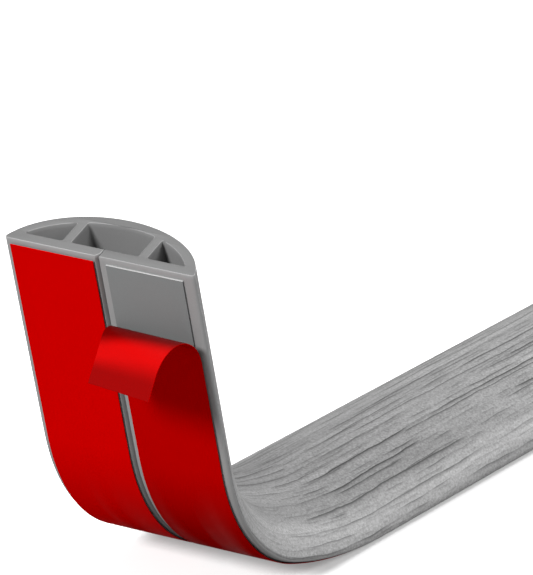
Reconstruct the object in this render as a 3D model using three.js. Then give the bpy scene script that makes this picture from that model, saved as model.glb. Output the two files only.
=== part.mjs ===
// Floor cord cover: a flexible strip with an arched top, a flat base and three cord channels.
// Two bands of adhesive tape run along the base, each under a red release liner.
// The near end is curled up off the floor and its right liner is peeled back.
//
// Millimetres, +Z up.  The strip runs along +X, from the curled end to the far end.
// +Y points across it, to the left when looking from the curled end to the far end.
// The floor is z = 0 and the origin is below the middle of the whole part.

import * as THREE from 'three';

// Driving dimensions

const stripLength = 1219; // cut length, measured along the base
const coverWidth = 60;
const coverHeight = 17.3; // base to crown

const floorThickness = 3.4; // between the base and the channels
const crownThickness = 3.0; // roof over the middle channel
const flankThickness = 3.0; // how much narrower the inner arch is on each side
const archDrop = 4.4; // how far the centre of the arch curve lies below the base
const webThickness = 2.8;
const webOffset = 11.9; // middle of each web, from the centre line
const channelRound = 0.7; // rounding of the channel corners

const slitWidth = 0.3; // the base is split along the middle channel
const slitBevelWidth = 1.1; // the left lip of the split is bevelled
const slitBevelDepth = 1.4;

const tapeThickness = 0.5;
const tapeWidth = 24;
const tapeInset = 2.2; // from the centre line, and from the cut ends
const linerThickness = 0.2;
const linerWidth = 26.2;
const linerInset = 1.6; // from the centre line, and from the cut ends

const uprightLength = 67; // straight part of the curled end
const tightBendRadius = 62.5;
const tightBendAngle = THREE.MathUtils.degToRad(53.3);
const easyBendRadius = 187; // where the strip leaves the floor
const easyBendAngle = THREE.MathUtils.degToRad(16.2);

const peelLength = 27; // from the cut end to the peel line, on the middle of the right liner
const peelSkew = THREE.MathUtils.degToRad(10.9); // the liner is peeled further on its outer side
const peelLift = 0.02; // the liner just lifts where the peeling begins
const peelConeAngle = THREE.MathUtils.degToRad(20); // the freed liner rolls up on a slim cone
const peelConeReach = 24.4; // from the middle of the liner to the tip of that cone
const peelTurn = THREE.MathUtils.degToRad(129); // the liner is flat again after this much of the cone
const pullTab = 4.1; // the end of the right liner stuck out past the cut end
const pullTabSkew = THREE.MathUtils.degToRad(20);

const archFacets = 28;
const sideRoofFacets = 7;
const middleRoofFacets = 8;
const roundFacets = 2;
const tightBendFacets = 18;
const easyBendFacets = 7;
const peelFacets = 18;

// Derived heights and distances

const tapeBottom = linerThickness;
const baseHeight = tapeBottom + tapeThickness;
const bendStart = uprightLength;
const bendMiddle = bendStart + tightBendRadius * tightBendAngle;
const bendEnd = bendMiddle + easyBendRadius * easyBendAngle;
const lean = tightBendAngle + easyBendAngle;
const attachedAgain = peelLength + linerWidth * Math.tan(peelSkew); // liner flat on the tape from here on

// The line that the strip follows

// Point and angle of the floor-side line at a distance along the strip from the curled end.
function strip_line(distance) {
  if (distance >= bendEnd) {
    return { x: distance - bendEnd, z: 0, angle: 0 };
  }
  if (distance >= bendMiddle) {
    const angle = (bendEnd - distance) / easyBendRadius;
    return { x: -easyBendRadius * Math.sin(angle), z: easyBendRadius * (1 - Math.cos(angle)), angle };
  }
  const joinX = -easyBendRadius * Math.sin(easyBendAngle);
  const joinZ = easyBendRadius * (1 - Math.cos(easyBendAngle));
  if (distance >= bendStart) {
    const angle = easyBendAngle + (bendMiddle - distance) / tightBendRadius;
    return {
      x: joinX - tightBendRadius * (Math.sin(angle) - Math.sin(easyBendAngle)),
      z: joinZ + tightBendRadius * (Math.cos(easyBendAngle) - Math.cos(angle)),
      angle,
    };
  }
  const straight = bendStart - distance;
  return {
    x: joinX - tightBendRadius * (Math.sin(lean) - Math.sin(easyBendAngle)) - straight * Math.cos(lean),
    z: joinZ + tightBendRadius * (Math.cos(easyBendAngle) - Math.cos(lean)) + straight * Math.sin(lean),
    angle: lean,
  };
}

// A place in the strip: distance along it, position across it and height above its floor side.
function strip_point(distance, across, height) {
  const line = strip_line(distance);
  return new THREE.Vector3(
    line.x + height * Math.sin(line.angle),
    across,
    line.z + height * Math.cos(line.angle),
  );
}

// Distances at which every piece has a ring of vertices, so that bent faces meet exactly.
function strip_stations() {
  const stations = [0, linerInset, tapeInset, attachedAgain, bendStart];
  for (let i = 1; i <= tightBendFacets; i++) {
    stations.push(bendStart + (bendMiddle - bendStart) * i / tightBendFacets);
  }
  for (let i = 1; i <= easyBendFacets; i++) {
    stations.push(bendMiddle + (bendEnd - bendMiddle) * i / easyBendFacets);
  }
  stations.push(stripLength - tapeInset, stripLength - linerInset, stripLength);
  return stations;
}

const stations = strip_stations();

// Extrudes a section (across, height) from ring to ring and lays each ring at its place.
function sweep_section(shape, rings, place) {
  const count = rings.length - 1;
  const geometry = new THREE.ExtrudeGeometry(shape, { depth: count, steps: count, bevelEnabled: false });
  const position = geometry.attributes.position;
  for (let i = 0; i < position.count; i++) {
    const ring = rings[Math.round(position.getZ(i))];
    const point = place(ring, position.getX(i), position.getY(i));
    position.setXYZ(i, point.x, point.y, point.z);
  }
  geometry.computeVertexNormals();
  return geometry;
}

// Section of the cover

// Half width of an arch curve at a height above the base.
function half_width_at(halfAxis, riseAxis, height) {
  return halfAxis * Math.sqrt(1 - ((height + archDrop) / riseAxis) ** 2);
}

const outerRise = coverHeight + archDrop;
const outerHalf = (coverWidth / 2) / Math.sqrt(1 - (archDrop / outerRise) ** 2);
const innerRise = outerRise - crownThickness;
const innerHalf = outerHalf - flankThickness;

// Points along an arch curve from one position across to another, evenly spaced in angle.
function arch_points(halfAxis, riseAxis, fromAcross, toAcross, facets) {
  const first = Math.acos(THREE.MathUtils.clamp(fromAcross / halfAxis, -1, 1));
  const last = Math.acos(THREE.MathUtils.clamp(toAcross / halfAxis, -1, 1));
  const points = [];
  for (let i = 0; i <= facets; i++) {
    const angle = first + (last - first) * i / facets;
    const across = halfAxis * Math.cos(angle);
    const height = riseAxis * Math.sin(angle) - archDrop;
    points.push(new THREE.Vector2(across, baseHeight + height));
  }
  return points;
}

// Replaces the corner between two neighbours by a small rounding.
function round_corner(before, corner, after, radius) {
  const inward = before.clone().sub(corner).normalize();
  const outward = after.clone().sub(corner).normalize();
  const start = corner.clone().addScaledVector(inward, radius);
  const end = corner.clone().addScaledVector(outward, radius);
  return new THREE.QuadraticBezierCurve(start, corner, end).getPoints(roundFacets);
}

// Walks round a closed outline and rounds the corners whose indices are listed.
function round_outline(points, corners) {
  const result = [];
  points.forEach((point, i) => {
    if (!corners.includes(i)) {
      result.push(point);
      return;
    }
    const before = points[(i + points.length - 1) % points.length];
    const after = points[(i + 1) % points.length];
    result.push(...round_corner(before, point, after, channelRound));
  });
  return result;
}

// A side channel between a web and the flank; side is +1 on the left and -1 on the right.
function side_channel(side) {
  const webFace = webOffset + webThickness / 2;
  const tip = half_width_at(innerHalf, innerRise, floorThickness);
  const roof = arch_points(innerHalf, innerRise, side * webFace, side * tip, sideRoofFacets);
  const floorCorner = new THREE.Vector2(side * webFace, baseHeight + floorThickness);
  const outline = [...roof, floorCorner];
  return new THREE.Path(round_outline(outline, [0, roof.length - 1, roof.length]));
}

// Outline of the whole section.  It runs through the split and round the middle channel.
function cover_section() {
  const half = coverWidth / 2;
  const slitHalf = slitWidth / 2;
  const channelHalf = webOffset - webThickness / 2;
  const channelFloor = baseHeight + floorThickness;
  const bevelTop = baseHeight + slitBevelDepth;
  const arch = arch_points(outerHalf, outerRise, half, -half, archFacets);
  const roof = arch_points(innerHalf, innerRise, -channelHalf, channelHalf, middleRoofFacets);
  const channel = round_outline(
    [
      new THREE.Vector2(-slitHalf, channelFloor),
      new THREE.Vector2(-channelHalf, channelFloor),
      ...roof,
      new THREE.Vector2(channelHalf, channelFloor),
      new THREE.Vector2(slitHalf, channelFloor),
    ],
    [1, 2, 1 + roof.length, 2 + roof.length],
  );
  const outline = [
    ...arch,
    new THREE.Vector2(-slitHalf, baseHeight),
    ...channel,
    new THREE.Vector2(slitHalf, bevelTop),
    new THREE.Vector2(slitHalf + slitBevelWidth, baseHeight),
  ];
  const shape = new THREE.Shape(outline);
  shape.holes.push(side_channel(1), side_channel(-1));
  return shape;
}

// A thin band in section, between two positions across and two heights.
function band_section(fromAcross, toAcross, bottom, top) {
  return new THREE.Shape([
    new THREE.Vector2(fromAcross, bottom),
    new THREE.Vector2(toAcross, bottom),
    new THREE.Vector2(toAcross, top),
    new THREE.Vector2(fromAcross, top),
  ]);
}

// Materials

function grey_vinyl() {
  return new THREE.MeshStandardMaterial({ color: 0x939393, roughness: 0.6, metalness: 0 });
}

function grey_foam_tape() {
  return new THREE.MeshStandardMaterial({ color: 0x787878, roughness: 0.75, metalness: 0 });
}

function red_film() {
  return new THREE.MeshStandardMaterial({ color: 0xc10000, roughness: 0.25, metalness: 0 });
}

// Pieces

function cover_body() {
  const mesh = new THREE.Mesh(sweep_section(cover_section(), stations, strip_point), grey_vinyl());
  mesh.name = 'cover_body';
  return mesh;
}

// Stations from one distance along the strip to another.
function stations_between(from, to) {
  return stations.filter((distance) => distance >= from && distance <= to);
}

// One band of tape; side is +1 on the left and -1 on the right.
function adhesive_tape(side, name) {
  const edges = [side * tapeInset, side * (tapeInset + tapeWidth)].sort((a, b) => a - b);
  const section = band_section(edges[0], edges[1], tapeBottom, baseHeight);
  const rings = stations_between(tapeInset, stripLength - tapeInset);
  const mesh = new THREE.Mesh(sweep_section(section, rings, strip_point), grey_foam_tape());
  mesh.name = name;
  return mesh;
}

// The left liner lies on its tape from end to end.
function attached_liner(name) {
  const section = band_section(linerInset, linerInset + linerWidth, 0, linerThickness);
  const rings = stations_between(linerInset, stripLength - linerInset);
  const mesh = new THREE.Mesh(sweep_section(section, rings, strip_point), red_film());
  mesh.name = name;
  return mesh;
}

// A place in the freed part of the right liner, which rolls on a cone that touches the tape along
// the peel line and ends in a flat tail.  reach goes from 0 at the peel line to 1 at the free end.
function freed_point(reach, across, height) {
  const middle = -(linerInset + linerWidth / 2);
  const offset = across - middle;
  const peelAt = peelLength - offset * Math.tan(peelSkew);
  const endAt = -pullTab + offset * Math.tan(pullTabSkew);
  const flatAt = THREE.MathUtils.lerp(peelAt, endAt, reach) - peelLength;
  // On the flat liner: along the peel line from the tip of the cone, and past that line.
  const along = flatAt * Math.sin(peelSkew) - offset * Math.cos(peelSkew) + peelConeReach;
  const past = Math.max(-flatAt * Math.cos(peelSkew) - offset * Math.sin(peelSkew), 0);
  const fromTip = Math.hypot(along, past);
  const swept = Math.atan2(past, along);
  // How far the cone is turned there, and how far that place is beyond the cone on the flat tail.
  const slope = Math.sin(peelConeAngle);
  const rise = Math.cos(peelConeAngle);
  const turn = Math.min(swept / slope, peelTurn);
  const beyond = swept - turn * slope;
  const cosTurn = Math.cos(turn);
  const sinTurn = Math.sin(turn);
  // Directions: x along the peel line, y away from the tape, z past the peel line.
  const ruling = new THREE.Vector3(
    rise * rise + slope * slope * cosTurn,
    rise * slope * (1 - cosTurn),
    slope * sinTurn,
  );
  const onward = new THREE.Vector3(-slope * sinTurn, rise * sinTurn, cosTurn);
  const inward = new THREE.Vector3(
    rise * slope * (1 - cosTurn),
    slope * slope + rise * rise * cosTurn,
    -rise * sinTurn,
  );
  const freed = ruling.multiplyScalar(fromTip * Math.cos(beyond));
  freed.addScaledVector(onward, fromTip * Math.sin(beyond));
  freed.addScaledVector(inward, linerThickness - height);
  const onLine = freed.x - peelConeReach;
  return strip_point(
    peelLength + onLine * Math.sin(peelSkew) - freed.z * Math.cos(peelSkew),
    middle - onLine * Math.cos(peelSkew) - freed.z * Math.sin(peelSkew),
    linerThickness - peelLift - freed.y,
  );
}

// The right liner lies on its tape up to the peel line and is curled back beyond it.
function peeled_liner(name) {
  const rings = [];
  for (let i = peelFacets; i >= 0; i--) {
    rings.push({ reach: i / peelFacets });
  }
  stations_between(attachedAgain, stripLength - linerInset).forEach((distance) => rings.push({ distance }));
  const place = (ring, across, height) => (
    'reach' in ring
      ? freed_point(ring.reach, across, height)
      : strip_point(ring.distance, across, height)
  );
  const section = band_section(-linerInset - linerWidth, -linerInset, 0, linerThickness);
  const mesh = new THREE.Mesh(sweep_section(section, rings, place), red_film());
  mesh.name = name;
  return mesh;
}

// The part

const group = new THREE.Group();
group.add(cover_body());
group.add(adhesive_tape(1, 'adhesive_tape_left'));
group.add(adhesive_tape(-1, 'adhesive_tape_right'));
group.add(attached_liner('release_liner_left'));
group.add(peeled_liner('release_liner_right'));

// The strip is built from where it leaves the floor, then moved so that the origin is below its middle.
const extent = new THREE.Box3().setFromObject(group);
group.position.x = -(extent.min.x + extent.max.x) / 2;
group.updateMatrixWorld(true);

export default group;
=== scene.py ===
# Floor cord cover: an arched grey vinyl strip with a printed wood grain on top, three cord
# channels, a split base, two bands of foam tape and two red release liners.
# The near end is curled up off the floor and its right liner is peeled back.

import math

import bpy
import numpy as np
from mathutils import Matrix, Vector
from mathutils.geometry import tessellate_polygon


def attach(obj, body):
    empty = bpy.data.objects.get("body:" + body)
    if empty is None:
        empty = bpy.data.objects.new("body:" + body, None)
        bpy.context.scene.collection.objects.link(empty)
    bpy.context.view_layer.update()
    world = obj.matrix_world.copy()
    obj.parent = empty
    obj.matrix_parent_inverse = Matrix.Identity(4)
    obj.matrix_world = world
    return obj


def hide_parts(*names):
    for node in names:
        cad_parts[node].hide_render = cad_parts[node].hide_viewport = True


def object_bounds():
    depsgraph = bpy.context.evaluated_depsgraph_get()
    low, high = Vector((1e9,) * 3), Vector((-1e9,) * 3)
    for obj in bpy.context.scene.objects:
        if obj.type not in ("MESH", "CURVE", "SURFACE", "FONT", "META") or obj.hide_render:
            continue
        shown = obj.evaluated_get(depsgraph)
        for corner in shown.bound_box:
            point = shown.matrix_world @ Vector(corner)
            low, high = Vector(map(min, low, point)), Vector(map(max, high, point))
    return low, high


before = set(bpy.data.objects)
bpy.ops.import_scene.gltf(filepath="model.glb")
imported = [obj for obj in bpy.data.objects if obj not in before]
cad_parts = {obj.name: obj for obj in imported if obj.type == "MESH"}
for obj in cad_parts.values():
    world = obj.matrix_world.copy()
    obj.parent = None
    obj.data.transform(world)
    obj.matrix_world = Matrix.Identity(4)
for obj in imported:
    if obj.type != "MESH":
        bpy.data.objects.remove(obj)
solid_low, solid_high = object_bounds()

# Sizes in millimetres, as in the solids

STRIP_LENGTH = 1219.0
COVER_WIDTH = 60.0
COVER_HEIGHT = 17.3
FLOOR_THICKNESS = 3.4
CROWN_THICKNESS = 3.0
FLANK_THICKNESS = 3.0
ARCH_DROP = 4.4
WEB_THICKNESS = 2.8
WEB_OFFSET = 11.9
CHANNEL_ROUND = 0.7
SLIT_WIDTH = 0.3
SLIT_BEVEL_WIDTH = 1.1
SLIT_BEVEL_DEPTH = 1.4
TAPE_THICKNESS = 0.5
TAPE_WIDTH = 24.0
TAPE_INSET = 2.2
LINER_THICKNESS = 0.2
LINER_WIDTH = 26.2
LINER_INSET = 1.6
UPRIGHT_LENGTH = 67.0
TIGHT_RADIUS = 62.5
TIGHT_ANGLE = math.radians(53.3)
EASY_RADIUS = 187.0
EASY_ANGLE = math.radians(16.2)
PEEL_LENGTH = 27.0
PEEL_SKEW = math.radians(10.9)
PEEL_LIFT = 0.02
CONE_ANGLE = math.radians(20)
CONE_REACH = 24.4
PEEL_TURN = math.radians(129)
PULL_TAB = 4.099  # 4.1 in the solids; a hair less keeps the flap inside their box
PULL_TAB_SKEW = math.radians(20)

BASE_HEIGHT = LINER_THICKNESS + TAPE_THICKNESS
BEND_START = UPRIGHT_LENGTH
BEND_MIDDLE = BEND_START + TIGHT_RADIUS * TIGHT_ANGLE
BEND_END = BEND_MIDDLE + EASY_RADIUS * EASY_ANGLE
ATTACHED_AGAIN = PEEL_LENGTH + LINER_WIDTH * math.tan(PEEL_SKEW)

# Sizes of the fine detail, in millimetres

FOOT_ROUND = 1.5  # rounding of the two outer corners of the base
FOOT_RUN = 1.7  # height up to which the flank is straight, for that rounding
FILM_EDGE = 0.5  # the printed film ends this high above the base, on the rounding
EDGE_ROUND = 0.2  # the knife-cut ends are a little rounded
END_REACH = 1.5  # the first full ring lies this far from a cut end
HAIR = 0.01  # heights that differ by less count as the same

# How finely the shapes are divided

UPRIGHT_RINGS = 12
TIGHT_BEND_RINGS = 55
EASY_BEND_RINGS = 22
FLAT_STEP = 12.0  # millimetres between rings on the floor
RING_GAP = 0.5  # no ring lies nearer than this to an end
ARCH_FACETS = 96
MIDDLE_ROOF_FACETS = 26
SIDE_ROOF_FACETS = 30
ROUND_FACETS = 4
BAND_COLUMNS = 13
PEEL_COLUMNS = 15
PEEL_RINGS = 49
SMOOTH_ANGLE = math.radians(40)  # edges sharper than this stay sharp

MM = 0.001  # a millimetre in metres
PLACE_NOTE = "strip_place"  # each point's place on the strip, for the materials

# Camera, at the photograph's viewing angle

VIEW_AZIMUTH = math.radians(-60.959)
VIEW_ELEVATION = math.radians(17.693)
VIEW_ROLL = math.radians(2.322)
VIEW_DISTANCE = 1.89197
VIEW_LENS = 417.9
SENSOR_WIDTH = 36.0
SHIFT = solid_high.x * 1000 - (STRIP_LENGTH - BEND_END)  # x in millimetres where the lying part starts
VIEW_TARGET = Vector((SHIFT * MM - 0.014004, 0.004577, 0.072533))


def camera_at_photo_angle():
    """The camera, placed and turned so that its view matches the photograph's perspective."""
    data = bpy.data.cameras.new("camera")
    camera = bpy.data.objects.new("camera", data)
    bpy.context.scene.collection.objects.link(camera)
    a, e, r = VIEW_AZIMUTH, VIEW_ELEVATION, VIEW_ROLL
    back = Vector((math.sin(a) * math.cos(e), -math.cos(a) * math.cos(e), math.sin(e)))
    right = Vector((math.cos(a), math.sin(a), 0))
    up = back.cross(right)
    turned_right = math.cos(r) * right + math.sin(r) * up
    turned_up = math.cos(r) * up - math.sin(r) * right
    turn = Matrix((turned_right, turned_up, back)).transposed().to_4x4()
    camera.matrix_world = Matrix.Translation(VIEW_TARGET + back * VIEW_DISTANCE) @ turn
    data.sensor_width = SENSOR_WIDTH
    data.lens = VIEW_LENS
    data.clip_start = 0.05
    data.clip_end = 40.0
    bpy.context.scene.camera = camera


camera_at_photo_angle()

# The line that the strip follows


def strip_point(distance, across, height):
    """Points in metres, from millimetres along the strip, across it and above its floor side."""
    easy = np.clip((BEND_END - distance) / EASY_RADIUS, 0, EASY_ANGLE)
    tight = np.clip((BEND_MIDDLE - distance) / TIGHT_RADIUS, 0, TIGHT_ANGLE)
    straight = np.clip(BEND_START - distance, 0, None)
    flat = np.clip(distance - BEND_END, 0, None)
    angle = easy + tight
    lean = EASY_ANGLE + TIGHT_ANGLE
    x = (
        flat
        - EASY_RADIUS * np.sin(easy)
        - TIGHT_RADIUS * (np.sin(EASY_ANGLE + tight) - math.sin(EASY_ANGLE))
        - straight * math.cos(lean)
    )
    z = (
        EASY_RADIUS * (1 - np.cos(easy))
        + TIGHT_RADIUS * (math.cos(EASY_ANGLE) - np.cos(EASY_ANGLE + tight))
        + straight * math.sin(lean)
    )
    # Adding 0 * x gives the position across as many values as the others have.
    point = (
        x + height * np.sin(angle) + SHIFT,
        across + 0 * x,
        z + height * np.cos(angle),
    )
    return np.stack(point, axis=-1) * MM


def strip_stations(start, end):
    """Distances with a ring of points: close together in the bends, wide apart on the flat."""
    flat_rings = int((STRIP_LENGTH - BEND_END) / FLAT_STEP)
    rings = np.concatenate(
        [
            np.linspace(0, BEND_START, UPRIGHT_RINGS),
            np.linspace(BEND_START, BEND_MIDDLE, TIGHT_BEND_RINGS),
            np.linspace(BEND_MIDDLE, BEND_END, EASY_BEND_RINGS),
            np.linspace(BEND_END, STRIP_LENGTH, flat_rings),
        ]
    )
    inside = rings[(rings > start + RING_GAP) & (rings < end - RING_GAP)]
    return np.unique(np.round(np.concatenate([[start], inside, [end]]), 5))


# Meshes


def mesh_piece(name, points, faces, materials, slots, place):
    """A mesh object whose points carry their place on the strip, for its materials.

    slots holds the number of each face's material.
    """
    mesh = bpy.data.meshes.new(name)
    mesh.from_pydata([tuple(p) for p in points], [], faces)
    for material in materials:
        mesh.materials.append(material)
    mesh.polygons.foreach_set("material_index", slots)
    layer = mesh.attributes.new(PLACE_NOTE, "FLOAT_VECTOR", "POINT")
    layer.data.foreach_set("vector", np.asarray(place, float).ravel())
    mesh.polygons.foreach_set("use_smooth", [True] * len(mesh.polygons))
    mesh.update()
    mesh.validate()
    mesh.set_sharp_from_angle(angle=SMOOTH_ANGLE)
    piece = bpy.data.objects.new(name, mesh)
    bpy.context.scene.collection.objects.link(piece)
    return piece


def inset_loop(loop, amount):
    """Moves every point of a closed outline to its left by an amount, square to the outline."""
    loop = np.asarray(loop)
    forward = np.roll(loop, -1, axis=0) - loop
    forward /= np.linalg.norm(forward, axis=1)[:, None]
    normal = np.stack([-forward[:, 1], forward[:, 0]], axis=1)
    before = np.roll(normal, 1, axis=0)
    middle = normal + before
    middle /= np.linalg.norm(middle, axis=1)[:, None]
    # At a sharp corner the point moves twice the amount at most.
    reach = np.clip((middle * normal).sum(axis=1), 0.5, 1)
    return loop + middle * (amount / reach)[:, None]


def sweep_loops(loops, rings, place):
    """Sweeps closed outlines from ring to ring and caps both ends.

    The first outline runs anticlockwise round the section and the others clockwise round its
    holes. rings holds (distance, inset) pairs. Returns points, faces and for each face the
    index of its outline and the step on it, or (-1, -1) on the caps.
    """
    points, faces, origin = [], [], []
    starts = np.cumsum([0] + [len(loop) for loop in loops])
    count = starts[-1]
    for distance, inset in rings:
        section = np.concatenate([inset_loop(loop, inset) if inset else loop for loop in loops])
        points.append(place(distance, section[:, 0], section[:, 1]))
    for ring in range(len(rings) - 1):
        low, high = ring * count, (ring + 1) * count
        for which, loop in enumerate(loops):
            size = len(loop)
            for i in range(size):
                a, b = starts[which] + i, starts[which] + (i + 1) % size
                faces.append((low + b, high + b, high + a, low + a))
                origin.append((which, i))
    corners = np.concatenate(loops)
    flat = [[Vector((x, y, 0)) for x, y in loop] for loop in loops]
    last = (len(rings) - 1) * count
    for a, b, c in tessellate_polygon(flat):
        p, q, r = corners[a], corners[b], corners[c]
        # The caps' triangles are all laid anticlockwise first, so that both caps face outward.
        turn = (q[0] - p[0]) * (r[1] - p[1]) - (q[1] - p[1]) * (r[0] - p[0])
        if turn <= 0:
            b, c = c, b
        faces += [(c, b, a), (last + a, last + b, last + c)]
        origin += [(-1, -1), (-1, -1)]
    return np.concatenate(points), faces, np.array(origin)


# Section of the cover

OUTER_RISE = COVER_HEIGHT + ARCH_DROP
OUTER_HALF = (COVER_WIDTH / 2) / math.sqrt(1 - (ARCH_DROP / OUTER_RISE) ** 2)
INNER_RISE = OUTER_RISE - CROWN_THICKNESS
INNER_HALF = OUTER_HALF - FLANK_THICKNESS


def half_width_at(half, rise, height):
    """Half width of an arch curve at a height above the base."""
    return half * math.sqrt(1 - ((height + ARCH_DROP) / rise) ** 2)


def arch_points(half, rise, start, end, facets):
    """Points along an arch curve between two positions across, evenly spaced in angle."""
    first = math.acos(max(-1, min(1, start / half)))
    last = math.acos(max(-1, min(1, end / half)))
    angle = np.linspace(first, last, facets + 1)
    return np.stack(
        [half * np.cos(angle), BASE_HEIGHT + rise * np.sin(angle) - ARCH_DROP], axis=1
    )


def rounded(points, corners):
    """Rounds the listed corners of a closed outline; corners maps an index to a radius."""
    points = [np.asarray(p, float) for p in points]
    result = []
    for i, corner in enumerate(points):
        radius = corners.get(i)
        if radius is None:
            result.append(corner)
            continue
        before, after = points[i - 1] - corner, points[(i + 1) % len(points)] - corner
        start = corner + before / np.linalg.norm(before) * radius
        end = corner + after / np.linalg.norm(after) * radius
        for t in np.linspace(0, 1, ROUND_FACETS + 1):
            result.append((1 - t) ** 2 * start + 2 * t * (1 - t) * corner + t * t * end)
    return np.array(result)


def cover_outline():
    """The whole section's outline, which runs through the split and round the middle channel."""
    slit = SLIT_WIDTH / 2
    channel = WEB_OFFSET - WEB_THICKNESS / 2
    channel_floor = BASE_HEIGHT + FLOOR_THICKNESS
    foot = half_width_at(OUTER_HALF, OUTER_RISE, 0)
    flank = half_width_at(OUTER_HALF, OUTER_RISE, FOOT_RUN)
    top = arch_points(OUTER_HALF, OUTER_RISE, flank, -flank, ARCH_FACETS)
    roof = arch_points(INNER_HALF, INNER_RISE, -channel, channel, MIDDLE_ROOF_FACETS)
    middle = rounded(
        [
            (-slit, channel_floor),
            (-channel, channel_floor),
            *roof,
            (channel, channel_floor),
            (slit, channel_floor),
        ],
        dict.fromkeys([1, 2, 1 + len(roof), 2 + len(roof)], CHANNEL_ROUND),
    )
    outline = [
        (foot, BASE_HEIGHT),
        *top,
        (-foot, BASE_HEIGHT),
        (-slit, BASE_HEIGHT),
        *middle,
        (slit, BASE_HEIGHT + SLIT_BEVEL_DEPTH),
        (slit + SLIT_BEVEL_WIDTH, BASE_HEIGHT),
    ]
    return rounded(outline, dict.fromkeys([0, len(top) + 1], FOOT_ROUND))


def side_channel(side):
    """A side channel, clockwise as a hole; side is +1 on the left and -1 on the right."""
    face = WEB_OFFSET + WEB_THICKNESS / 2
    tip = half_width_at(INNER_HALF, INNER_RISE, FLOOR_THICKNESS)
    roof = arch_points(INNER_HALF, INNER_RISE, side * face, side * tip, SIDE_ROOF_FACETS)
    outline = [*roof, (side * face, BASE_HEIGHT + FLOOR_THICKNESS)]
    loop = rounded(outline, dict.fromkeys([0, len(roof) - 1, len(roof)], CHANNEL_ROUND))
    across, height = loop[:, 0], loop[:, 1]
    area = (across * np.roll(height, -1) - np.roll(across, -1) * height).sum()
    return loop[::-1] if area > 0 else loop


# Materials


def add(tree, kind, x, y, **values):
    """A node at a place in the tree, with its plain properties set."""
    node = tree.nodes.new(kind)
    node.location = (x, y)
    for name, value in values.items():
        setattr(node, name, value)
    return node


def fill(node, **values):
    """Sets a node's inputs by their names, with an underline for each space."""
    for name, value in values.items():
        node.inputs[name.replace("_", " ")].default_value = value
    return node


def math_node(tree, operation, x, y, *values):
    """A step of arithmetic on numbers and sockets; returns its result's socket."""
    node = add(tree, "ShaderNodeMath", x, y, operation=operation)
    for i, value in enumerate(values):
        if isinstance(value, bpy.types.NodeSocket):
            tree.links.new(value, node.inputs[i])
        else:
            node.inputs[i].default_value = value
    return node.outputs[0]


def split_place(tree, place, x, y):
    """The outputs X, Y and Z of a place."""
    node = add(tree, "ShaderNodeSeparateXYZ", x, y)
    tree.links.new(place, node.inputs[0])
    return node.outputs


def scaled(tree, color, factor, x, y):
    """A colour made lighter or darker by a factor."""
    node = add(tree, "ShaderNodeVectorMath", x, y, operation="SCALE")
    if isinstance(color, bpy.types.NodeSocket):
        tree.links.new(color, node.inputs[0])
    else:
        node.inputs[0].default_value = color
    tree.links.new(factor, node.inputs["Scale"])
    return node.outputs[0]


def mixed(tree, factor, first, second, x, y):
    """A colour between two others."""
    node = add(tree, "ShaderNodeMix", x, y, data_type="RGBA")
    # Its factor is input 0, and its two colours are inputs 6 and 7.
    for socket, value in zip((0, 6, 7), (factor, first, second)):
        if isinstance(value, bpy.types.NodeSocket):
            tree.links.new(value, node.inputs[socket])
        else:
            node.inputs[socket].default_value = value
    return node.outputs[2]


def scaled_place(tree, place, x, y, along, across, seed):
    """The place on the strip, stretched along and across it and moved by a seed."""
    node = add(tree, "ShaderNodeVectorMath", x, y, operation="MULTIPLY_ADD")
    tree.links.new(place, node.inputs[0])
    node.inputs[1].default_value = (along, across, 1.0)
    node.inputs[2].default_value = (seed, seed * 0.7, seed * 0.3)
    return node.outputs[0]


def noise(tree, vector, x, y, detail=2.0, roughness=0.5):
    """Soft noise from 0 to 1 at a scaled place."""
    node = add(tree, "ShaderNodeTexNoise", x, y)
    fill(node, Scale=1.0, Detail=detail, Roughness=roughness)
    tree.links.new(vector, node.inputs["Vector"])
    return node.outputs["Fac"]


def spread(tree, value, x, y, low, high, to_low=0.0, to_high=1.0, smooth=True):
    """Maps a value from one range to another; returns the result's socket."""
    node = add(tree, "ShaderNodeMapRange", x, y)
    node.interpolation_type = "SMOOTHSTEP" if smooth else "LINEAR"
    tree.links.new(value, node.inputs["Value"])
    return fill(node, From_Min=low, From_Max=high, To_Min=to_low, To_Max=to_high).outputs["Result"]


def new_group(name, inputs, outputs):
    """An empty node group with named inputs and outputs, each given with its kind."""
    tree = bpy.data.node_groups.new(name, "ShaderNodeTree")
    for title, kind in inputs.items():
        tree.interface.new_socket(title, in_out="INPUT", socket_type=f"NodeSocket{kind}")
    for title, kind in outputs.items():
        tree.interface.new_socket(title, in_out="OUTPUT", socket_type=f"NodeSocket{kind}")
    return tree, add(tree, "NodeGroupInput", -1600, 0), add(tree, "NodeGroupOutput", 900, 0)


FIRST_LINE = 50.0  # keeps the numbers of the grain lines above zero
LINE_STRIDE = 3.71  # how far apart the gaps of neighbouring lines are taken from the noise
QUICK_SWAY = 0.0016  # metres by which a grain line wavers quickly


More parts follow.
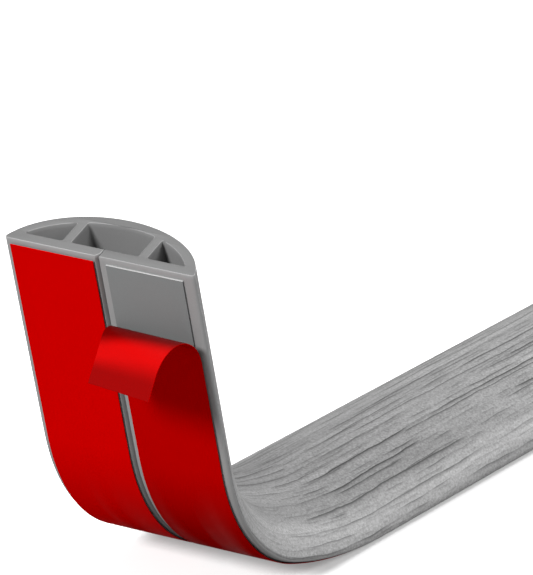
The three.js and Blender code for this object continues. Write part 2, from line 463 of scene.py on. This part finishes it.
def streaks(tree, place, y, spacing, sway, gap_along, gap_range, lean, seed):
    """One family of grain lines: sharp on one side, fading on the other, broken along the board.

    spacing is in metres. Returns how dark the line is at each place, from 0 to 1.
    """
    wide = scaled_place(tree, place, -1900, y, 5, 26, seed)
    close = scaled_place(tree, place, -1900, y - 150, 60, 70, seed + 2)
    slow = noise(tree, wide, -1700, y, detail=1.5)
    quick = noise(tree, close, -1700, y - 150, detail=2.5)
    spot = split_place(tree, place, -1900, y - 300)
    line = math_node(tree, "MULTIPLY_ADD", -1500, y, spot["Y"], 1 / spacing, FIRST_LINE)
    line = math_node(tree, "MULTIPLY_ADD", -1350, y, slow, sway, line)
    line = math_node(tree, "MULTIPLY_ADD", -1200, y, quick, QUICK_SWAY / spacing, line)
    number = math_node(tree, "FLOOR", -1050, y - 150, line)
    part = math_node(tree, "FRACT", -1050, y, line)
    fade = math_node(tree, "POWER", -900, y, part, lean)
    edge = spread(tree, part, -900, y - 150, 0.95, 1.0, 1.0, 0.0)
    # Each line has its own gaps and its own depth.
    own = add(tree, "ShaderNodeCombineXYZ", -900, y - 350)
    along = math_node(tree, "MULTIPLY", -1050, y - 350, spot["X"], gap_along)
    row = math_node(tree, "MULTIPLY_ADD", -1050, y - 500, number, LINE_STRIDE, seed)
    tree.links.new(along, own.inputs["X"])
    tree.links.new(row, own.inputs["Y"])
    gaps = noise(tree, own.outputs[0], -700, y - 350, roughness=0.6)
    kept = spread(tree, gaps, -500, y - 350, *gap_range)
    whole = math_node(tree, "MULTIPLY", -700, y, fade, edge)
    return math_node(tree, "MULTIPLY", -350, y, whole, kept)


def wood_grain_group():
    """Printed wood grain: soft bands, thin wavy dark streaks, fine fibres and speckle."""
    tree, given, out = new_group(
        "wood grain",
        {
            "Place": "Vector",
            "Light Wood": "Color",
            "Dark Wood": "Color",
            "Streak": "Color",
            "Streak Depth": "Float",
            "Speckle": "Float",
        },
        {"Color": "Color", "Roughness": "Float", "Height": "Float"},
    )
    place = given.outputs["Place"]
    # Soft light and dark bands along the board.
    bands = scaled_place(tree, place, -1900, 900, 5, 110, 14.0)
    bands = noise(tree, bands, -1700, 900, detail=3, roughness=0.6)
    tone = spread(tree, bands, -1500, 900, 0.3, 0.7)
    wood = mixed(tree, tone, given.outputs["Dark Wood"], given.outputs["Light Wood"], -100, 900)
    # Short fine fibres and speckle.
    fibre = scaled_place(tree, place, -650, -1400, 150, 1300, 1.3)
    fibre = noise(tree, fibre, -450, -1400, roughness=0.6)
    speck = scaled_place(tree, place, -650, -1600, 1000, 1500, 5.9)
    speck = noise(tree, speck, -450, -1600, roughness=0.7)
    fibres = spread(tree, fibre, -200, -1400, 0.25, 0.75, 0.93, 1.07, smooth=False)
    specks = spread(tree, speck, -200, -1600, 0.25, 0.75, -0.5, 0.5, smooth=False)
    fine = math_node(tree, "MULTIPLY_ADD", 0, -1500, specks, given.outputs["Speckle"], fibres)
    grained = scaled(tree, wood, fine, 200, 800)
    # Dark streaks of three sizes; the finer they are, the fainter.
    wide_gaps = {"gap_along": 13, "gap_range": (0.42, 0.55)}
    middle_gaps = {"gap_along": 24, "gap_range": (0.45, 0.57)}
    short_gaps = {"gap_along": 50, "gap_range": (0.45, 0.62)}
    bold = streaks(tree, place, 600, spacing=0.0058, sway=1.3, lean=9, seed=1, **wide_gaps)
    plain = streaks(tree, place, -100, spacing=0.0034, sway=2.0, lean=7, seed=9, **middle_gaps)
    faint = streaks(tree, place, -800, spacing=0.0016, sway=3.5, lean=3, seed=17, **short_gaps)
    plain = math_node(tree, "MULTIPLY", -150, -100, plain, 0.8)
    faint = math_node(tree, "MULTIPLY", -150, -800, faint, 0.4)
    dark = math_node(tree, "MAXIMUM", 0, 300, bold, plain)
    dark = math_node(tree, "MAXIMUM", 150, 300, dark, faint)
    depth = math_node(tree, "MULTIPLY", 300, 300, dark, given.outputs["Streak Depth"])
    streaked = mixed(tree, depth, grained, given.outputs["Streak"], 500, 500)
    gloss = spread(tree, fibre, 500, -100, 0.3, 0.7, 0.46, 0.56)
    height = math_node(tree, "SUBTRACT", 500, -300, fine, dark)
    tree.links.new(streaked, out.inputs["Color"])
    tree.links.new(gloss, out.inputs["Roughness"])
    tree.links.new(height, out.inputs["Height"])
    return tree


def mottle_group():
    """Fine pebbling and faint clouding for moulded vinyl, foam and film."""
    tree, given, out = new_group(
        "surface mottle",
        {
            "Place": "Vector",
            "Color": "Color",
            "Grain Scale": "Float",
            "Grain Depth": "Float",
            "Cloud Depth": "Float",
        },
        {"Color": "Color", "Clouds": "Float", "Height": "Float"},
    )
    pebble = add(tree, "ShaderNodeTexNoise", -1100, 100)
    fill(pebble, Detail=2.0, Roughness=0.6)
    tree.links.new(given.outputs["Place"], pebble.inputs["Vector"])
    tree.links.new(given.outputs["Grain Scale"], pebble.inputs["Scale"])
    cloud = add(tree, "ShaderNodeTexNoise", -1100, -200)
    fill(cloud, Scale=35.0, Detail=3.0, Roughness=0.5)
    tree.links.new(given.outputs["Place"], cloud.inputs["Vector"])
    fine = math_node(tree, "SUBTRACT", -900, 100, pebble.outputs["Fac"], 0.5)
    soft = math_node(tree, "SUBTRACT", -900, -200, cloud.outputs["Fac"], 0.5)
    fine = math_node(tree, "MULTIPLY", -700, 100, fine, given.outputs["Grain Depth"])
    soft = math_node(tree, "MULTIPLY", -700, -200, soft, given.outputs["Cloud Depth"])
    fine = math_node(tree, "MULTIPLY_ADD", -600, 0, fine, 2.0, 1.0)
    total = math_node(tree, "ADD", -500, 0, fine, soft)
    color = scaled(tree, given.outputs["Color"], total, -300, 200)
    tree.links.new(color, out.inputs["Color"])
    tree.links.new(cloud.outputs["Fac"], out.inputs["Clouds"])
    tree.links.new(pebble.outputs["Fac"], out.inputs["Height"])
    return tree


WOOD_GRAIN = wood_grain_group()
MOTTLE = mottle_group()


def grey(tone):
    """A neutral colour."""
    return (tone, tone, tone)


def start_material(name, color):
    """An empty node material with a shader, and the place on the strip as its coordinates."""
    material = bpy.data.materials.new(name)
    material.use_nodes = True
    material.diffuse_color = (*color, 1)
    tree = material.node_tree
    tree.nodes.clear()
    out = add(tree, "ShaderNodeOutputMaterial", 600, 0)
    shader = add(tree, "ShaderNodeBsdfPrincipled", 300, 0)
    tree.links.new(shader.outputs[0], out.inputs["Surface"])
    place = add(tree, "ShaderNodeAttribute", -900, 0, attribute_name=PLACE_NOTE)
    return material, tree, shader, place.outputs["Vector"]


def place_group(tree, group, place, **values):
    """A node group in a material, with its own values."""
    node = add(tree, "ShaderNodeGroup", -300, 0, node_tree=group)
    tree.links.new(place, node.inputs["Place"])
    return fill(node, **values)


def mottled(tree, shader, place, grain_scale, grain_depth, cloud_depth):
    """The mottle on a shader's colour; the mottle's own colour is set or linked afterwards."""
    values = {"Grain_Scale": grain_scale, "Grain_Depth": grain_depth, "Cloud_Depth": cloud_depth}
    mottle = place_group(tree, MOTTLE, place, **values)
    tree.links.new(mottle.outputs["Color"], shader.inputs["Base Color"])
    return mottle


def clouded_gloss(tree, shader, mottle, low, high):
    """Roughness that drifts between two values with the mottle's clouds."""
    gloss = spread(tree, mottle.outputs["Clouds"], 0, -100, 0.3, 0.7, low, high)
    tree.links.new(gloss, shader.inputs["Roughness"])


def bump(tree, shader, height, strength, distance):
    """Fine relief; distance is in metres."""
    node = add(tree, "ShaderNodeBump", 0, -300)
    fill(node, Strength=strength, Distance=distance)
    tree.links.new(height, node.inputs["Height"])
    tree.links.new(node.outputs[0], shader.inputs["Normal"])


def printed_film():
    """The grey wood-grain film on the arch."""
    material, tree, shader, place = start_material("printed wood film", grey(0.29))
    tones = {
        "Light_Wood": (*grey(0.23), 1),
        "Dark_Wood": (*grey(0.16), 1),
        "Streak": (*grey(0.03), 1),
    }
    grain = place_group(tree, WOOD_GRAIN, place, Speckle=0.75, **tones)
    # The grain is fainter where the film was stretched round the bend.
    along = split_place(tree, place, -700, -300)["X"]
    depth = spread(tree, along, -500, -300, 0.1, 0.17, 0.9, 1.7)
    tree.links.new(depth, grain.inputs["Streak Depth"])
    tree.links.new(grain.outputs["Color"], shader.inputs["Base Color"])
    tree.links.new(grain.outputs["Roughness"], shader.inputs["Roughness"])
    fill(shader, Specular_IOR_Level=0.35)
    bump(tree, shader, grain.outputs["Height"], 0.25, 0.00008)
    return material


def grey_vinyl(name, tone, low_roughness, high_roughness, specular=0.5):
    """One of the plain vinyl surfaces, which differ in tone and gloss."""
    material, tree, shader, place = start_material(name, grey(tone))
    mottle = mottled(tree, shader, place, grain_scale=1800, grain_depth=0.06, cloud_depth=0.06)
    fill(mottle, Color=(*grey(tone), 1))
    clouded_gloss(tree, shader, mottle, low_roughness, high_roughness)
    fill(shader, Specular_IOR_Level=specular)
    bump(tree, shader, mottle.outputs["Height"], 0.15, 0.00005)
    return material


def foam_tape():
    """The sticky face of the foam tape."""
    material, tree, shader, place = start_material("grey foam tape", grey(0.19))
    mottle = mottled(tree, shader, place, grain_scale=1400, grain_depth=0.05, cloud_depth=0.08)
    fill(mottle, Color=(0.113, 0.12, 0.12, 1))
    clouded_gloss(tree, shader, mottle, 0.6, 0.75)
    bump(tree, shader, mottle.outputs["Height"], 0.2, 0.00006)
    return material


def foam_cut_highlight():
    """The cut ends of the foam tape, painted pale as a highlight along the tape's end edge."""
    material, tree, shader, place = start_material("cut foam edge, painted highlight", grey(0.45))
    mottle = mottled(tree, shader, place, grain_scale=2500, grain_depth=0.08, cloud_depth=0.05)
    fill(mottle, Color=(*grey(0.33), 1))
    fill(shader, Roughness=0.6)
    return material


def red_film(name, tone, shaded_bend_tone, wiped):
    """The glossy outer side of a liner, with its tone before the bend and its tone round it, where
    shade can be painted darker.

    The peeled liner is painted darker than the other as shade, darker still round the bend, and is
    more wiped.
    """
    material, tree, shader, place = start_material(name, (tone, 0.0, 0.0))
    mottle = mottled(tree, shader, place, grain_scale=900, grain_depth=0.01, cloud_depth=0.04)
    clouded_gloss(tree, shader, mottle, 0.32, 0.38)
    # Round the bend the tone changes to the second one, as painted shade where the film turns down to
    # the floor.
    along = split_place(tree, place, -1300, 100)["X"]
    red = add(tree, "ShaderNodeCombineXYZ", -700, 100)
    tree.links.new(spread(tree, along, -1000, 100, 0.066, 0.1, tone, shaded_bend_tone), red.inputs["X"])
    tree.links.new(red.outputs[0], mottle.inputs["Color"])
    # Long faint wipes below the bend, where the film is glossier.
    wipes = scaled_place(tree, place, -600, -500, 9, 110, 4.0)
    wipes = noise(tree, wipes, -400, -500, detail=1.5)
    wipes = spread(tree, wipes, -150, -500, 0.5, 0.72, 0.0, wiped)
    bent = spread(tree, along, -400, -700, 0.07, 0.1)
    coat = math_node(tree, "MULTIPLY", 50, -500, wipes, bent)
    tree.links.new(coat, shader.inputs["Coat Weight"])
    fill(shader, Coat_Roughness=0.22, Metallic=0.5)
    fill(shader, Specular_IOR_Level=0.0, Specular_Tint=(1.0, 0.02, 0.02, 1))
    return material


def red_release_side():
    """The side of the liner that was on the tape: darker and slicker than its outer side."""
    material, tree, shader, place = start_material("red film release side", (0.3, 0.0, 0.0))
    mottle = mottled(tree, shader, place, grain_scale=1200, grain_depth=0.01, cloud_depth=0.04)
    clouded_gloss(tree, shader, mottle, 0.4, 0.44)
    # A highlight is painted along its curl, brighter than the rest, and shade is painted dark towards
    # the peel line.
    # The curl is a cone, so the painted highlight runs a little aslant across the film.
    spot = split_place(tree, place, -1700, 100)
    slant = math_node(tree, "MULTIPLY_ADD", -1500, 100, spot["Y"], -0.06, spot["X"])
    curl_highlight = spread(tree, slant, -1300, 200, 0.0045, 0.0105, 0.205, 0.42)
    peel_shade = spread(tree, slant, -1300, -100, 0.0125, 0.0175, 1.0, 0.26)
    tone = math_node(tree, "MULTIPLY", -900, 100, curl_highlight, peel_shade)
    red = scaled(tree, (1.0, 0.004, 0.004), tone, -700, 100)
    tree.links.new(red, mottle.inputs["Color"])
    fill(shader, Metallic=0.38, Specular_IOR_Level=0.1, Specular_Tint=(1.0, 0.05, 0.05, 1))
    return material


VINYL = grey_vinyl("grey vinyl", 0.175, 0.5, 0.62)
# The cut ends are rougher and duller than the skin, and drawn darker as painted shade.
SHADED_CUT_VINYL = grey_vinyl("cut grey vinyl, painted shade", 0.098, 0.65, 0.78, specular=0.2)
# The channel walls are the same vinyl, drawn darker as painted shade inside the channels.
SHADED_CHANNEL_VINYL = grey_vinyl("grey vinyl channel wall, painted shade", 0.14, 0.55, 0.68)
WOOD_FILM = printed_film()
FOAM = foam_tape()
FOAM_CUT_HIGHLIGHT = foam_cut_highlight()
RED_FILM = red_film("red release film", tone=0.54, shaded_bend_tone=0.54, wiped=0.08)
# The peeled liner is the same film, painted darker as shade cast by its flap, and darker still round
# the bend.
SHADED_PEELED_FILM = red_film("red release film peeled, painted shade", tone=0.41, shaded_bend_tone=0.29, wiped=0.3)
RED_RELEASE_SIDE = red_release_side()

# The cover


def settle(piece, node):
    """Every piece rides on the one body and stands for its solid, which is hidden."""
    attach(piece, "root")
    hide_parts(node)
    return piece


def cut_rings(start, end):
    """Rings along the strip whose two ends have the small rounding of a knife cut.

    Each ring is a distance and how far the section is drawn in there.
    """
    rounding = [(0, EDGE_ROUND * 0.8), (EDGE_ROUND * 0.3, EDGE_ROUND * 0.3), (EDGE_ROUND, 0)]
    rings = [(start + reach, inset) for reach, inset in rounding]
    rings += [(distance, 0) for distance in strip_stations(start + END_REACH, end - END_REACH)]
    rings += [(end - reach, inset) for reach, inset in reversed(rounding)]
    return rings


def cover_body():
    """The vinyl strip, with the printed film on its arch and bare vinyl elsewhere."""
    outer = cover_outline()
    loops = [outer, side_channel(1), side_channel(-1)]
    rings = cut_rings(0.0, STRIP_LENGTH)
    points, faces, origin = sweep_loops(loops, rings, strip_point)
    section = np.concatenate(loops)
    # On the outer outline, the grain is laid by the way round the arch from its crown.
    steps = np.hypot(*(section - np.roll(section, 1, axis=0)).T)
    size = len(outer)
    crown = int(np.argmax(outer[:, 1]))
    way = np.cumsum(steps[:size])
    around = section[:, 0].copy()
    around[:size] = way[crown] - way
    notes = [np.stack([np.full(len(section), d), around, section[:, 1]], axis=1) for d, _ in rings]
    # The printed film covers the arch down to a little above the base.
    film_height = BASE_HEIGHT + FILM_EDGE - HAIR
    film_end = next(i for i in range(crown, size) if outer[i, 1] < film_height)
    film_start = next(i for i in range(size) if outer[i, 1] > film_height)
    # The walls of the middle channel are the part of the outer outline inside the base.
    floor_height = BASE_HEIGHT + FLOOR_THICKNESS
    wall_start = next(i for i in range(film_end, size) if outer[i, 1] > floor_height - HAIR)
    wall_end = max(i for i in range(size) if abs(outer[i, 1] - floor_height) < HAIR)
    finishes = [VINYL, WOOD_FILM, SHADED_CUT_VINYL, SHADED_CHANNEL_VINYL]
    bare, printed, cut, wall = range(len(finishes))
    slots = []
    for which, step in origin:
        if which < 0:
            slots.append(cut)
        elif which > 0 or wall_start <= step < wall_end:
            slots.append(wall)
        else:
            slots.append(printed if film_start <= step < film_end - 1 else bare)
    piece = mesh_piece("cover", points, faces, finishes, slots, np.concatenate(notes) * MM)
    return settle(piece, "cover_body")


# Tapes and liners


def band_grid(name, bottom, top, place, materials):
    """A thin closed band from two grids of points, rings by columns, its lower and upper face.

    The materials are for its lower face and sides, its upper face, and its two cut ends.
    """
    rows, columns = bottom.shape[:2]
    points = np.concatenate([bottom.reshape(-1, 3), top.reshape(-1, 3)])
    lift = rows * columns
    faces = []

    def at(i, j, upper):
        return i * columns + j + (lift if upper else 0)

    last = columns - 1
    for i in range(rows - 1):
        for j in range(last):
            faces.append((at(i, j, 0), at(i, j + 1, 0), at(i + 1, j + 1, 0), at(i + 1, j, 0)))
            faces.append((at(i, j, 1), at(i + 1, j, 1), at(i + 1, j + 1, 1), at(i, j + 1, 1)))
        faces.append((at(i, 0, 0), at(i + 1, 0, 0), at(i + 1, 0, 1), at(i, 0, 1)))
        faces.append((at(i, last, 0), at(i, last, 1), at(i + 1, last, 1), at(i + 1, last, 0)))
    end = rows - 1
    for j in range(last):
        faces.append((at(0, j, 0), at(0, j, 1), at(0, j + 1, 1), at(0, j + 1, 0)))
        faces.append((at(end, j, 0), at(end, j + 1, 0), at(end, j + 1, 1), at(end, j, 1)))
    notes = np.concatenate([place.reshape(-1, 3), place.reshape(-1, 3)])
    slots = ([0, 1] * last + [0, 0]) * end + [2, 2] * last
    return mesh_piece(name, points, faces, materials, slots, notes)


def lying_band(name, inner, outer, start, end, low, high, materials):
    """A band that follows the strip between two positions across, two ends and two heights."""
    across = np.linspace(min(inner, outer), max(inner, outer), BAND_COLUMNS)
    distance = strip_stations(start, end)
    d, a = np.meshgrid(distance, across, indexing="ij")
    bottom = strip_point(d, a, np.full_like(d, low))
    top = strip_point(d, a, np.full_like(d, high))
    place = np.stack([d, a, 0 * d], axis=-1) * MM
    return band_grid(name, bottom, top, place, materials)


def foam_band(side, name, node):
    """One band of foam tape; side is +1 on the left and -1 on the right."""
    piece = lying_band(
        name,
        side * TAPE_INSET,
        side * (TAPE_INSET + TAPE_WIDTH),
        TAPE_INSET,
        STRIP_LENGTH - TAPE_INSET,
        LINER_THICKNESS,
        BASE_HEIGHT,
        [FOAM, FOAM, FOAM_CUT_HIGHLIGHT],
    )
    return settle(piece, node)


def left_liner():
    """The left liner, which lies on its tape from end to end."""
    piece = lying_band(
        "left_liner",
        LINER_INSET,
        LINER_INSET + LINER_WIDTH,
        LINER_INSET,
        STRIP_LENGTH - LINER_INSET,
        0.0,
        LINER_THICKNESS,
        [RED_FILM, RED_RELEASE_SIDE, RED_FILM],
    )
    return settle(piece, "release_liner_left")


def freed_point(reach, across, height):
    """A place in the freed part of the right liner, rolled on a cone that touches the tape."""
    middle = -(LINER_INSET + LINER_WIDTH / 2)
    offset = across - middle
    peel_at = PEEL_LENGTH - offset * math.tan(PEEL_SKEW)
    end_at = -PULL_TAB + offset * math.tan(PULL_TAB_SKEW)
    flat_at = peel_at + (end_at - peel_at) * reach - PEEL_LENGTH
    along = flat_at * math.sin(PEEL_SKEW) - offset * math.cos(PEEL_SKEW) + CONE_REACH
    past = np.clip(-flat_at * math.cos(PEEL_SKEW) - offset * math.sin(PEEL_SKEW), 0, None)
    from_tip = np.hypot(along, past)
    swept = np.arctan2(past, along)
    slope, rise = math.sin(CONE_ANGLE), math.cos(CONE_ANGLE)
    turn = np.minimum(swept / slope, PEEL_TURN)
    beyond = swept - turn * slope
    cos_turn, sin_turn = np.cos(turn), np.sin(turn)
    near, past_line = from_tip * np.cos(beyond), from_tip * np.sin(beyond)
    depth = LINER_THICKNESS - height
    # Along the peel line, away from the tape, and past the peel line.
    on_line = (
        near * (rise**2 + slope**2 * cos_turn)
        - past_line * slope * sin_turn
        + depth * rise * slope * (1 - cos_turn)
        - CONE_REACH
    )
    out = (
        near * rise * slope * (1 - cos_turn)
        + past_line * rise * sin_turn
        + depth * (slope**2 + rise**2 * cos_turn)
    )
    up = near * slope * sin_turn + past_line * cos_turn - depth * rise * sin_turn
    return strip_point(
        PEEL_LENGTH + on_line * math.sin(PEEL_SKEW) - up * math.cos(PEEL_SKEW),
        middle - on_line * math.cos(PEEL_SKEW) - up * math.sin(PEEL_SKEW),
        LINER_THICKNESS - PEEL_LIFT - out,
    )


def right_liner():
    """The right liner: rolled back at its near end and lying on its tape beyond the peel line."""
    across = np.linspace(-LINER_INSET - LINER_WIDTH, -LINER_INSET, PEEL_COLUMNS)
    reach = np.linspace(1, 0, PEEL_RINGS)
    distance = strip_stations(ATTACHED_AGAIN, STRIP_LENGTH - LINER_INSET)
    r, a = np.meshgrid(reach, across, indexing="ij")
    d, b = np.meshgrid(distance, across, indexing="ij")
    grids = []
    for height in (0.0, LINER_THICKNESS):
        freed = freed_point(r, a, np.full_like(r, height))
        lying = strip_point(d, b, np.full_like(d, height))
        grids.append(np.concatenate([freed, lying]))
    freed_place = np.stack([PEEL_LENGTH * (1 - r), a, 0 * r], axis=-1)
    lying_place = np.stack([d, b, 0 * d], axis=-1)
    place = np.concatenate([freed_place, lying_place]) * MM
    materials = [SHADED_PEELED_FILM, RED_RELEASE_SIDE, SHADED_PEELED_FILM]
    piece = band_grid("right_liner", grids[0], grids[1], place, materials)
    return settle(piece, "release_liner_right")


cover_body()
foam_band(1, "left_foam_tape", "adhesive_tape_left")
foam_band(-1, "right_foam_tape", "adhesive_tape_right")
left_liner()
right_liner()

# Floor and light

FLOOR_HALF = 6.0  # metres
FLOOR_GAP = 0.00005  # metres below the strip
FLOOR_TONE = 0.65  # to the eye
FLOOR_BOUNCE = 0.22  # as a tone that throws light back on the strip
FLOOR_GLOW = 0.45  # near the strip
GLOW_FADE = (0.8, 1.6)  # metres from the origin between which the glow grows to full white
SHADOW_DEPTH = 0.4  # of the shadow beside the strip, from 0 to 1
SHADOW_BESIDE = (0.0285, 0.0375)  # metres from the middle line between which it fades out
SHADOW_BELOW = (-0.499, -0.481)  # x in metres between which it sets in, below the bend
SHADOW_BEYOND = 0.008  # metres past the far end within which it fades out
WORLD_STRENGTH = 0.3


def pale_floor():
    """A pale table top that fades into white away from the strip."""
    half = FLOOR_HALF
    points = [(-half, -half, 0), (half, -half, 0), (half, half, 0), (-half, half, 0)]
    mesh = bpy.data.meshes.new("floor")
    mesh.from_pydata(points, [], [(0, 1, 2, 3)])
    floor = bpy.data.objects.new("floor", mesh)
    bpy.context.scene.collection.objects.link(floor)
    floor.location.z = -FLOOR_GAP
    material = bpy.data.materials.new("pale floor")
    material.use_nodes = True
    tree = material.node_tree
    shader = tree.nodes["Principled BSDF"]
    fill(shader, Roughness=0.9, Specular_IOR_Level=0.0)
    seen = add(tree, "ShaderNodeLightPath", -600, 0).outputs["Is Camera Ray"]
    spot = add(tree, "ShaderNodeNewGeometry", -900, -300).outputs["Position"]
    # A soft narrow shadow is painted on the floor along the edge of the strip where it lies.
    parts = split_place(tree, spot, -900, -600)
    beside = math_node(tree, "ABSOLUTE", -700, -600, parts["Y"])
    edge = spread(tree, beside, -500, -600, *SHADOW_BESIDE, 1.0, 0.0)
    lying = spread(tree, parts["X"], -500, -800, *SHADOW_BELOW)
    far_end = solid_high.x
    ended = spread(tree, parts["X"], -500, -1000, far_end, far_end + SHADOW_BEYOND, 1.0, 0.0)
    lying = math_node(tree, "MULTIPLY", -300, -800, lying, ended)
    painted_shadow = math_node(tree, "MULTIPLY", -300, -600, edge, lying)
    shown = math_node(tree, "MULTIPLY_ADD", -100, -600, painted_shadow, -SHADOW_DEPTH, 1.0)
    # The floor throws back less light than it shows, so that the underside stays deep.
    shown_tone = math_node(tree, "MULTIPLY", 50, -600, shown, FLOOR_TONE)
    shade = mixed(tree, seen, (*grey(FLOOR_BOUNCE), 1), shown_tone, -300, 0)
    tree.links.new(shade, shader.inputs["Base Color"])
    # It glows a little, like a lit table, and away from the strip it is plain white to the eye.
    away = add(tree, "ShaderNodeVectorMath", -700, -300, operation="LENGTH")
    tree.links.new(spot, away.inputs[0])
    near = spread(tree, away.outputs["Value"], -500, -300, *GLOW_FADE, FLOOR_GLOW, 1.0)
    glow = math_node(tree, "MULTIPLY", -300, -300, seen, near)
    glow = math_node(tree, "MULTIPLY", -100, -300, glow, shown)
    fill(shader, Emission_Color=(1, 1, 1, 1))
    tree.links.new(glow, shader.inputs["Emission Strength"])
    mesh.materials.append(material)


def soft_light(name, place, aim, size, power):
    """A round lamp; size is in metres and power in watts."""
    data = bpy.data.lights.new(name, "AREA")
    data.shape = "DISK"
    data.size = size
    data.energy = power
    light = bpy.data.objects.new(name, data)
    light.location = place
    light.rotation_mode = "QUATERNION"
    light.rotation_quaternion = (Vector(aim) - Vector(place)).to_track_quat("-Z", "Y")
    bpy.context.scene.collection.objects.link(light)


def studio_light():
    """White surroundings and four lamps."""
    world = bpy.data.worlds.new("studio")
    world.use_nodes = True
    tree = world.node_tree
    background = tree.nodes["Background"]
    background.inputs["Color"].default_value = (1, 1, 1, 1)
    # White to look at, and dimmer as a light, so that the lamps shape the strip.
    seen = add(tree, "ShaderNodeLightPath", -600, 0).outputs["Is Camera Ray"]
    rest = 1.0 - WORLD_STRENGTH
    strength = math_node(tree, "MULTIPLY_ADD", -300, 0, seen, rest, WORLD_STRENGTH)
    tree.links.new(strength, background.inputs["Strength"])
    bpy.context.scene.world = world
    soft_light("front light", (-3.0, 0.5, 1.35), aim=(-0.5, 0, 0.06), size=0.7, power=130)
    soft_light("top light", (-0.95, 0.1, 2.6), aim=(-0.45, 0, 0.05), size=1.8, power=68)
    soft_light("rear light", (1.5, -0.95, 0.72), aim=(-0.1, 0, 0.02), size=0.35, power=19)
    soft_light("side light", (-0.5, -2.1, 1.6), aim=(-0.35, 0, 0.03), size=1.0, power=44)


pale_floor()
studio_light()
bpy.context.scene.view_settings.view_transform = "Standard"

bpy.context.view_layer.update()
